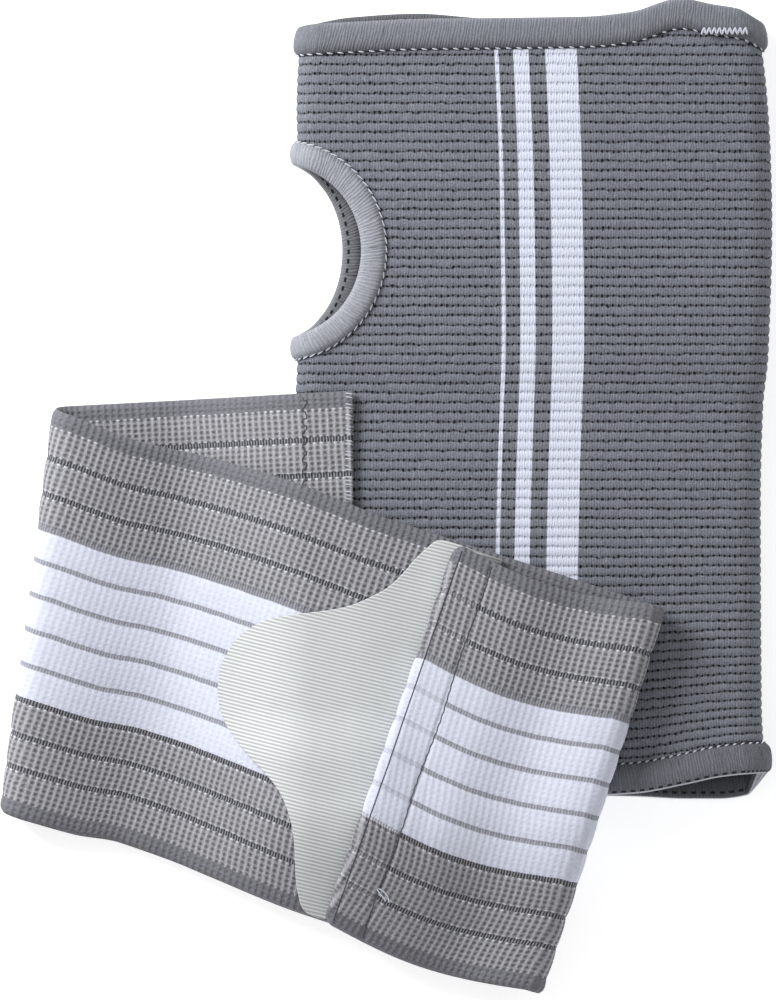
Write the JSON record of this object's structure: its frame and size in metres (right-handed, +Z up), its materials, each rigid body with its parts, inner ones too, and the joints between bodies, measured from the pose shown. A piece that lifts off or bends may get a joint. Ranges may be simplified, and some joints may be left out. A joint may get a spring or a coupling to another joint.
{
  "type": "wrist support",
  "caption": "Knitted elastic wrist and palm sleeve with bound ends and thumb hole, and a wide striped wrap strap folded over it that ends in a hook tab",
  "frame": {"origin": "on the surface the support lies on, under the middle of its bounding box", "axes": "+Y runs from the sleeve's wrist end to its hand end, +X points away from the thumb hole across the sleeve, +Z is up from the surface"},
  "size_m": [0.1428, 0.1838, 0.0198],
  "materials": {
    "sleeve_knit": "matte ribbed knit, grey with white stripes",
    "binding_tape": "matte knitted edge tape",
    "strap_elastic": "matte woven elastic in grey and white bands",
    "tab_plastic": "satin, finely ribbed"
  },
  "bodies": {
    "root": {"sleeve": "sleeve_knit", "hand_binding": "binding_tape", "wrist_binding": "binding_tape", "thumb_binding": "binding_tape", "strap": "strap_elastic", "hook_tab": "tab_plastic"}
  },
  "joints": []
}
